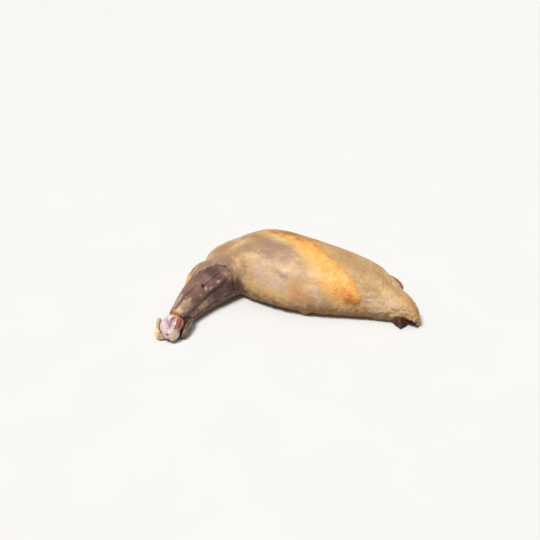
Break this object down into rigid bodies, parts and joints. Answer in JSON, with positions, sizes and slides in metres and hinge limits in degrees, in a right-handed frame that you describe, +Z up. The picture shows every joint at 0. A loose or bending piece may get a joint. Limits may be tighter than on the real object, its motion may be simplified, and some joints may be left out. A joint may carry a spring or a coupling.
{
  "type": "raw guinea fowl supreme (skin-on breast with wing joint)",
  "caption": "Raw skin-on guinea fowl breast, a teardrop that lies skin side up, with the first wing joint left on: bare dark meat cupped in skin, ending in a bare knuckle.",
  "frame": {"origin": "under the middle of the bounding box, on the board", "axes": "+X along the breast from the shoulder to the tail tip, the wing points to -Y, +Z up out of the skin side"},
  "size_m": [0.156, 0.1266, 0.0359],
  "materials": {
    "skin": "moist raw poultry skin, pale beige with yellow fat under it",
    "dark_meat": "moist raw dark red-brown meat",
    "cartilage": "wet pinkish white joint cartilage"
  },
  "bodies": {
    "root": {"breast": "skin", "wing_muscle": "dark_meat", "wing_bone": "cartilage"}
  },
  "joints": []
}
